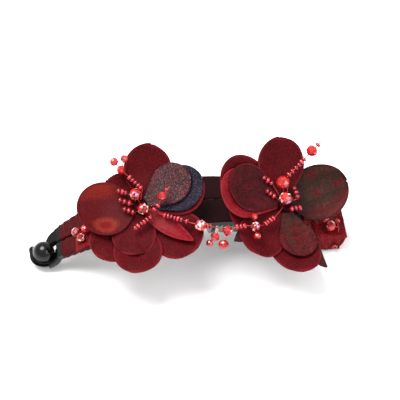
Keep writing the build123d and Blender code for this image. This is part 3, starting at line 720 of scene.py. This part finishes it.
def make_hood():
    """Satin draped over the hinge end: over the top, down the front and round the end."""
    start, front_drop, end_drop = 46.6, 8.6, 8.6
    top_length = HOOD_END + 0.35 - start

    def point(i, j):
        s = i * (top_length + end_drop)                 # along the arm, then down the end
        edge = hood_edge(start + s)
        t = edge - j * (edge + HOOD_REACH + 0.35 + front_drop)  # across, then down the front
        corner = 1.3
        over_s = max(0.0, s - top_length)
        over_t = max(0.0, -t - HOOD_REACH - 0.35)
        x, y = min(start + s, HOOD_END + 0.35), max(t, -HOOD_REACH - 0.35)
        on_arch = ARCH_Z + math.sqrt((SPINE_OUT + 0.4) ** 2 - min(x, 55.2) ** 2)
        top = max(HOOD_LOW + 0.4, on_arch) if x < 55.2 else HOOD_LOW + 0.4
        if x < 53.0:
            narrow = smooth(53.0, 48.6, x)
            inner, outer = -GAP_HALF - 0.1, -GAP_HALF - arm_width(min(x, ARM_REACH)) + 0.1
            tight = inner + (outer - inner) * j
            y = y * (1 - narrow) + tight * narrow
            over_t *= 1 - narrow
        drop = min(math.hypot(over_s, over_t) if over_s and over_t else over_s + over_t, top - 0.7)
        gone = smooth(0.0, corner, drop)
        bulge = 0.28 * math.sin(s * 0.9 + t * 0.5) + 0.22 * math.sin(t * 1.3 - s * 0.35)
        bulge += 0.35 * noise.noise(Vector((s * 0.22, t * 0.22, 3.1)))
        z = top - drop + bulge * (1 - gone) * 0.8 + 0.15
        x -= 3.2 * smooth(1.0, 8.6, drop) * smooth(-6.0, -11.5, t) * smooth(55.0, 62.0, x)
        if over_s:
            x += bulge * gone * 0.8
        if over_t:
            y -= abs(bulge) * gone * 0.8
        return Vector((x, y, z))

    mesh = grid_mesh("hinge_hood_cloth", 60, 60, point, lambda i, j: (0.5, 0.5),
                     lambda i, j: (i * HOOD_LONG, j * HOOD_DEEP))
    finish_sheet("hinge_hood_cloth", mesh, FIXED, FABRICS["lit_satin"], ["hinge_hood"], HOOD_CLOTH,
                 ["fixed_arm"])


# ------------ beads
def seed_mesh():
    """A rounded glass ring, 1 mm long and 1 mm in radius, along z."""
    mesh = bpy.data.meshes.new("seed_profile")
    bm = bmesh.new()
    ring = [(0.30, 0.44), (0.62, 0.50), (0.88, 0.38), (1.0, 0.14),
            (1.0, -0.14), (0.88, -0.38), (0.62, -0.50), (0.30, -0.44)]
    loops = [[bm.verts.new((r * math.cos(a), r * math.sin(a), z)) for r, z in ring]
             for a in (k * math.pi / 8 for k in range(16))]
    for one, two in zip(loops, loops[1:] + loops[:1]):
        for k in range(len(ring)):
            n = (k + 1) % len(ring)
            bm.faces.new((one[k], two[k], two[n], one[n]))
    bmesh.ops.recalc_face_normals(bm, faces=bm.faces)
    for face in bm.faces:
        face.smooth = True
    bm.to_mesh(mesh)
    bm.free()
    return mesh


def crystal_mesh():
    """A faceted ball of unit radius with its two flats along z."""
    mesh = bpy.data.meshes.new("crystal_cut")
    bm = bmesh.new()
    rows = [(0.42, 0.86, 0), (0.80, 0.56, 1), (0.99, 0.0, 0), (0.80, -0.56, 1), (0.42, -0.86, 0)]
    rings = []
    for r, z, half in rows:
        turns = [(k + half / 2) * math.pi / 4 for k in range(8)]
        rings.append([bm.verts.new((r * math.cos(a), r * math.sin(a), z)) for a in turns])
    for (low, high, (_, _, half)) in zip(rings, rings[1:], rows):
        for k in range(8):
            n = (k + 1) % 8
            if half:
                bm.faces.new((low[k], high[n], high[k]))
                bm.faces.new((low[k], low[n], high[n]))
            else:
                bm.faces.new((low[k], low[n], high[k]))
                bm.faces.new((low[n], high[n], high[k]))
    bm.faces.new(rings[0])
    bm.faces.new(rings[-1])
    bmesh.ops.recalc_face_normals(bm, faces=bm.faces)
    bm.to_mesh(mesh)
    bm.free()
    return mesh


def threading_nodes(name, bead, material, per_face, spin):
    """Geometry Nodes: one bead on each point, turned to the point's "along" and sized by "size"."""
    tree = bpy.data.node_groups.new(name, "GeometryNodeTree")
    face = tree.interface
    face.new_socket("Points", in_out="INPUT", socket_type="NodeSocketGeometry")
    for label, value in (("Size variation", 0.06), ("Spin", spin)):
        socket = face.new_socket(label, in_out="INPUT", socket_type="NodeSocketFloat")
        socket.default_value = value
    seed = face.new_socket("Seed", in_out="INPUT", socket_type="NodeSocketInt")
    seed.default_value = 7
    face.new_socket("Beads", in_out="OUTPUT", socket_type="NodeSocketGeometry")
    nodes, join = tree.nodes, tree.links.new
    entry, out = nodes.new("NodeGroupInput"), nodes.new("NodeGroupOutput")
    source = nodes.new("GeometryNodeObjectInfo")
    source.inputs["Object"].default_value = bead
    place_beads = nodes.new("GeometryNodeInstanceOnPoints")
    along, size = (nodes.new("GeometryNodeInputNamedAttribute") for _ in range(2))
    for attribute, label in ((along, "along"), (size, "size")):
        attribute.data_type = "FLOAT_VECTOR"
        attribute.inputs["Name"].default_value = label
    turn = nodes.new("FunctionNodeAlignRotationToVector")
    turn.axis = "Z"
    twirl = nodes.new("FunctionNodeRotateRotation")
    twirl.rotation_space = "LOCAL"
    angle, vary, pick = (nodes.new("FunctionNodeRandomValue") for _ in range(3))
    for chance in (angle, vary, pick):
        chance.data_type = "FLOAT"
    one, minus = (nodes.new("ShaderNodeMath") for _ in range(2))
    for sum_node, operation, value in ((one, "ADD", 1.0), (minus, "MULTIPLY", -1.0)):
        sum_node.operation = operation
        sum_node.inputs[1].default_value = value
    scaled = nodes.new("ShaderNodeVectorMath")
    scaled.operation = "SCALE"
    to_rotation = nodes.new("FunctionNodeAxisAngleToRotation")
    realize = nodes.new("GeometryNodeRealizeInstances")
    tone = nodes.new("GeometryNodeStoreNamedAttribute")
    tone.data_type, tone.domain = "FLOAT", "FACE" if per_face else "INSTANCE"
    tone.inputs["Name"].default_value = "tone"
    paint = nodes.new("GeometryNodeSetMaterial")
    paint.inputs["Material"].default_value = material
    for source_socket, target_socket in (
        (entry.outputs["Points"], place_beads.inputs["Points"]),
        (source.outputs["Geometry"], place_beads.inputs["Instance"]),
        (along.outputs["Attribute"], turn.inputs["Vector"]),
        (turn.outputs[0], twirl.inputs["Rotation"]),
        (entry.outputs["Seed"], angle.inputs["Seed"]),
        (entry.outputs["Spin"], angle.inputs[3]),
        (angle.outputs[1], to_rotation.inputs["Angle"]),
        (to_rotation.outputs[0], twirl.inputs["Rotate By"]),
        (twirl.outputs[0], place_beads.inputs["Rotation"]),
        (entry.outputs["Size variation"], minus.inputs[0]),
        (minus.outputs[0], vary.inputs[2]),
        (entry.outputs["Size variation"], vary.inputs[3]),
        (entry.outputs["Seed"], vary.inputs["Seed"]),
        (vary.outputs[1], one.inputs[0]),
        (size.outputs["Attribute"], scaled.inputs[0]),
        (one.outputs[0], scaled.inputs["Scale"]),
        (scaled.outputs[0], place_beads.inputs["Scale"]),
        (entry.outputs["Seed"], pick.inputs["Seed"]),
        (pick.outputs[1], tone.inputs["Value"]),
    ):
        join(source_socket, target_socket)
    if per_face:
        join(place_beads.outputs[0], realize.inputs[0])
        join(realize.outputs[0], tone.inputs[0])
        join(tone.outputs[0], paint.inputs["Geometry"])
    else:
        join(place_beads.outputs[0], tone.inputs[0])
        join(tone.outputs[0], realize.inputs[0])
        join(realize.outputs[0], paint.inputs["Geometry"])
    join(paint.outputs[0], out.inputs[0])
    return tree


def hidden_source(name, mesh):
    obj = bpy.data.objects.new(name, mesh)
    bpy.context.scene.collection.objects.link(obj)
    obj.hide_render = True
    return obj


def thread(name, beads, tree, material, nodes):
    """Beads as (centre, along, size) in millimetres, threaded by the node group, then plain mesh."""
    mesh = bpy.data.meshes.new(name)
    mesh.from_pydata([place(centre) for centre, _, _ in beads], [], [])
    for label, index in (("along", 1), ("size", 2)):
        attribute = mesh.attributes.new(label, "FLOAT_VECTOR", "POINT")
        flat = [component * (MM if index == 2 else 1) for bead in beads for component in bead[index]]
        attribute.data.foreach_set("vector", flat)
    obj = bpy.data.objects.new(name, mesh)
    bpy.context.scene.collection.objects.link(obj)
    modifier = obj.modifiers.new("threading", "NODES")
    modifier.node_group = tree
    bake(obj)
    if not obj.data.materials:
        obj.data.materials.append(material)
    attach(obj, FIXED)
    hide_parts(*nodes)
    return obj


# Points of each strand: where, along, up, height (over the flower's bowl, or plain x, y, z for
# "clip"), radius of the crystal there, and whether seed beads fill the wire leading to it.
# A crystal with a rainbow coat has a negative radius.
STRANDS = {
    "left_centre": [
        [("left", 0, 1, 4.65, 0, 0), ("left", -1.4, 4.6, 7.2, -2.5, 0)],
        [("left", 0.6, 0, 4.65, 0, 0), ("left", 0.9, -1.9, 7.4, -2.5, 0)],
        [
            ("left", -2.6, 1.2, 4.65, 0, 0), ("left", -3.6, 1.2, 5.4, 0, 0),
            ("left", -8.7, 3.6, 5.4, 0, 1),
        ],
        [
            ("left", -1.6, 2.4, 4.65, 0, 0), ("left", -4.5, 5.6, 5.4, 0, 0),
            ("left", -8.9, 7.4, 5.4, 0, 1),
        ],
        [
            ("left", -1.6, -1.8, 4.65, 0, 0), ("left", -2.6, -2.8, 5.4, 0, 0),
            ("left", -7.4, -0.4, 5.4, 0, 1),
        ],
    ],
    "left_sprigs": [
        [
            ("left", 0.4, 2.7, 4.65, 0, 0), ("left", 1.6, 6.6, 5.6, 0, 0),
            ("left", -3.4, 12.4, 5.6, 0, 1),
            ("left", -5.9, 14.9, 6.6, 1.9, 0), ("left", -8.2, 18.0, 7.4, 1.9, 0),
        ],
        [("left", -5.9, 14.9, 6.6, 0, 0), ("left", -3.9, 18.8, 7.2, 1.9, 0)],
        [
            ("left", 2.2, -1.7, 4.65, 0, 0), ("left", 3.9, -5.4, 6.2, 0, 0),
            ("left", -3.8, -9.9, 6.0, 0, 1),
        ],
        [
            ("left", 2.7, 0.6, 4.65, 0, 0), ("left", 4.9, -3.4, 7.3, 0, 0),
            ("left", 7.6, -1.0, 7.4, 0, 1),
            ("left", 9.2, 1.8, 8.2, 2.2, 0), ("left", 12.9, 5.4, 7.6, 0, 1),
        ],
    ],
    "garland": [
        [
            ("left", 2.6, -1.2, 4.65, 0, 0), ("left", 8.6, -5.2, 5.4, 0, 0),
            ("left", 15.2, -8.6, 5.4, 0, 1),
            ("left", 18.6, -10.6, 5, 0, 1), ("clip", 1.8, -21.8, 36.8, -2.4, 0),
            ("clip", 6.4, -20.4, 34.0, 0, 1),
            ("clip", 12.9, -20.9, 30.4, -2.3, 0), ("clip", 16.1, -20.7, 31.8, 0, 0),
            ("right", -19.8, -10.0, 6.4, 0, 1), ("right", -15.4, -10.0, 5.2, -2.3, 0),
            ("right", -11.4, -9.0, 5, 0, 0), ("right", -6.2, -6.0, 6.2, 0, 1),
            ("right", -1.8, -1.6, 5.55, 0, 0),
        ],
        [("clip", 12.1, -23, 29.4, 0, 0), ("clip", 10.6, -25.6, 27.8, 2.2, 0)],
        [
            ("clip", 9.6, -20.6, 31.8, 0, 0), ("clip", 7.4, -23.2, 30.4, 2, 0),
            ("clip", 5, -24.6, 28.4, 1.7, 0),
        ],
        [("right", -15.4, -7.6, 5.4, 0, 0), ("right", -15.6, -5.9, 6.6, 1.6, 0)],
        [("right", -15.4, -12.4, 5.0, 0, 0), ("right", -15.6, -14.2, 5, 1.6, 0)],
    ],
    "right_centre": [
        [("right", -1, 2, 5.5, 0, 0), ("right", -1.4, 7.9, 8.6, 2.9, 0)],
        [("right", 0, 0, 5.5, 0, 0), ("right", -1.0, 1.2, 8.8, -2.8, 0)],
        [
            ("right", -2.7, 1, 5.5, 0, 0), ("right", -4.6, 2.6, 6.2, 0, 0),
            ("right", -8.8, 5.6, 6.2, 0, 1),
        ],
        [
            ("right", -2, 2.2, 5.5, 0, 0), ("right", -5.2, 7.8, 6.2, 0, 0),
            ("right", -9.6, 11, 6.2, 0, 1),
        ],
        [("right", 2.7, 1, 5.5, 0, 0), ("right", 4.9, 1.4, 6.2, 0, 0), ("right", 3.6, 6.6, 6.2, 0, 1)],
        [
            ("right", 0.6, -2.6, 5.5, 0, 0), ("right", 0.6, -2.7, 6.4, 0, 0),
            ("right", 6.0, -2.4, 6.2, 0, 1),
        ],
    ],
    "right_sprig": [
        [
            ("right", 0.8, 2.6, 5.5, 0, 0), ("right", 1.4, 10.8, 6.2, 0, 0),
            ("right", 5.8, 14.4, 6.2, 0, 1),
            ("right", 9.2, 17.4, 6.4, 0, 1), ("right", 11.6, 19.6, 7, 2.5, 0),
            ("right", 15.2, 22.4, 7, 0, 1),
        ],
    ],
    "clasp_beads": [
        [("clip", -45.5, -3.6, 16.55, 0, 0), ("clip", -47.0, -2.6, 17.9, -1.9, 0)],
        [
            ("clip", -43.9, -4.0, 17.3, 0, 0), ("clip", -43.0, -3.4, 20, 1.9, 0),
            ("clip", -40.6, -3.4, 21, 0, 1),
        ],
        [("clip", -44.9, -5.2, 16.8, 0, 0), ("clip", -45.4, -6.6, 18.8, -1.9, 0)],
    ],
    "hinge_beads": [
        [
            ("clip", 60.6, -11.2, 9.75, 0, 0), ("clip", 61, -9.6, 11.1, 0, 0),
            ("clip", 57.6, -9.4, 12.2, 2.3, 0),
            ("clip", 55.8, -5.6, 12.2, 1.9, 0),
        ],
        [
            ("clip", 60.9, -8.2, 9.7, 0, 0), ("clip", 60.9, -7.4, 11.0, 0, 0),
            ("clip", 60.9, -4.6, 11.0, 0, 1),
        ],
        [("clip", 58.9, -12.7, 3.6, 0, 0), ("clip", 58.9, -14.5, 3.6, 0, 1)],
    ],
}
SEED_RADIUS, SEED_LENGTH, SEED_PITCH = 1.15, 1.25, 1.38


def strand_point(where, a, b, c):
    if where == "clip":
        return Vector((a, b, c))
    middle, ax, ay, az = flower_axes(where)
    return middle + ax * a + ay * b + az * ((a * a + b * b) / (2 * BOWL) + c)


def make_wire(name, runs):
    """Thin craft wire along each run, as one mesh of smooth tubes."""
    curve = bpy.data.curves.new(name, "CURVE")
    curve.dimensions = "3D"
    curve.bevel_depth, curve.bevel_resolution, curve.resolution_u = 0.2 * MM, 2, 6
    curve.use_fill_caps = True
    for points in runs:
        spline = curve.splines.new("POLY")
        spline.points.add(len(points) - 1)
        for slot, point in zip(spline.points, points):
            slot.co = (*place(point), 1)
    holder = bpy.data.objects.new(name + "_curve", curve)
    bpy.context.scene.collection.objects.link(holder)
    bpy.context.view_layer.update()
    mesh = bpy.data.meshes.new_from_object(holder.evaluated_get(bpy.context.evaluated_depsgraph_get()))
    bpy.data.objects.remove(holder)
    mesh.name = name
    for poly in mesh.polygons:
        poly.use_smooth = True
    return new_object(name, mesh, FIXED, WIRE, name.replace("_line", ""))


def jitter(rng):
    return Vector((rng.uniform(-1, 1), rng.uniform(-1, 1), rng.uniform(-1, 1)))


def make_strand(name, runs, trees):
    rng = random.Random(name)
    seeds, plain, rainbow, lines = [], [], [], []
    for run in runs:
        points = [strand_point(*point[:4]) for point in run]
        lines.append(points)
        for n, (start, end) in enumerate(zip(points, points[1:])):
            step = end - start
            length, along = step.length, step.normalized()
            radius, seeded = abs(run[n + 1][4]), run[n + 1][5]
            if seeded:
                first = abs(run[n][4]) + SEED_RADIUS * 0.76
                room = length - radius - SEED_RADIUS * 0.76 - first
                count = max(1, int(room / SEED_PITCH + 1.001))
                for k in range(count):
                    at = start + along * (first + room / max(1, count - 1) * k)
                    at += jitter(rng) * 0.1
                    tilt = along + jitter(rng) * 0.12
                    seeds.append((at, tilt.normalized(), (SEED_RADIUS, SEED_RADIUS, SEED_LENGTH)))
            if radius:
                bead = (end, along, (radius, radius, radius * 0.94))
                (rainbow if run[n + 1][4] < 0 else plain).append(bead)
    make_wire(f"{name}_wire_line", lines)
    if seeds:
        thread(f"{name}_seed_beads", seeds, trees["seed"], SEED, [f"{name}_seeds"])
    group = [f"{name}_crystals"]
    for label, beads, material in (("crystal", plain, CRYSTAL), ("rainbow", rainbow, RAINBOW)):
        if beads:
            thread(f"{name}_{label}_beads", beads, trees[label], material, group)


# ------------ build
for flower, petals in PETALS.items():
    make_pad(flower)
    for petal_name, values in petals.items():
        make_petal(flower, petal_name, *values)
make_ribbon("fixed_arm_ribbon_cloth", -1, RIBBON_START, FIXED_RIBBON_END)
make_ribbon("swing_arm_ribbon_cloth", 1, RIBBON_START, SWING_RIBBON_END)
make_wrap("fixed_clasp_wrap_cloth", -1)
make_wrap("swing_clasp_wrap_cloth", 1)
make_patch()
make_hood()

seed_source = hidden_source("seed_source", seed_mesh())
crystal_source = hidden_source("crystal_source", crystal_mesh())
TREES = {
    "seed": threading_nodes("thread_seeds", seed_source, SEED, False, 0.0),
    "crystal": threading_nodes("thread_crystals", crystal_source, CRYSTAL, True, 6.28),
    "rainbow": threading_nodes("thread_rainbow", crystal_source, RAINBOW, True, 6.28),
}
for strand_name, strand_runs in STRANDS.items():
    make_strand(strand_name, strand_runs, TREES)
for source in (seed_source, crystal_source):
    bpy.data.objects.remove(source)
for tree in TREES.values():
    bpy.data.node_groups.remove(tree)

for node, material in (("fixed_arm", BLACK), ("swing_arm", BLACK), ("hinge_pin", STEEL)):
    cad = frame["nodes"][node]
    cad.data.materials.clear()
    cad.data.materials.append(material)


# ------------ stage
def floor():
    mesh = bpy.data.meshes.new("floor")
    mesh.from_pydata([(-1.5, -1.5, 0), (1.5, -1.5, 0), (1.5, 1.5, 0), (-1.5, 1.5, 0)], [], [(0, 1, 2, 3)])
    p = Paint("floor_white")
    white = p.mix(p.noise(p.local(), 3.0, 2), (0.92, 0.92, 0.92), (0.95, 0.95, 0.95))
    p.set(Base_Color=white, Roughness=0.9)
    mesh.materials.append(p.material)
    obj = bpy.data.objects.new("floor", mesh)
    obj.location.z = -0.0002
    bpy.context.scene.collection.objects.link(obj)


def area_light(name, at, toward, size, power):
    light = bpy.data.lights.new(name, "AREA")
    light.shape, light.size, light.energy = "DISK", size, power
    obj = bpy.data.objects.new(name, light)
    obj.location = at
    obj.rotation_euler = (Vector(toward) - Vector(at)).to_track_quat("-Z", "Y").to_euler()
    bpy.context.scene.collection.objects.link(obj)


def camera():
    """Eight degrees round from the front and fifty above the table."""
    right, up = Vector((0.990, -0.139, 0.0)), Vector((0.1066, 0.7586, 0.6428))
    back = right.cross(up).normalized()
    target = place(right * 4.57 + up * 17.55)
    distance, width = 1.2, 0.166
    data = bpy.data.cameras.new("camera")
    data.sensor_width = 36
    data.lens = 36 * distance / width
    data.clip_start, data.clip_end = 0.1, 10
    obj = bpy.data.objects.new("camera", data)
    turn = Matrix((right, back.cross(right), back)).transposed().to_4x4()
    obj.matrix_world = Matrix.Translation(target + back * distance) @ turn
    bpy.context.scene.collection.objects.link(obj)
    bpy.context.scene.camera = obj


floor()
camera()
world = bpy.data.worlds.new("world")
world.use_nodes = True
world.node_tree.nodes["Background"].inputs[0].default_value = (1.0, 1.0, 1.0, 1)
world.node_tree.nodes["Background"].inputs[1].default_value = 1.0
bpy.context.scene.world = world
area_light("key", (-0.25, 0.1, 0.8), (0, 0, 0.02), 0.55, 11.0)
area_light("fill", (0.5, -0.45, 0.55), (0, 0, 0.02), 0.6, 3.4)
bpy.context.scene.view_settings.view_transform = "Standard"
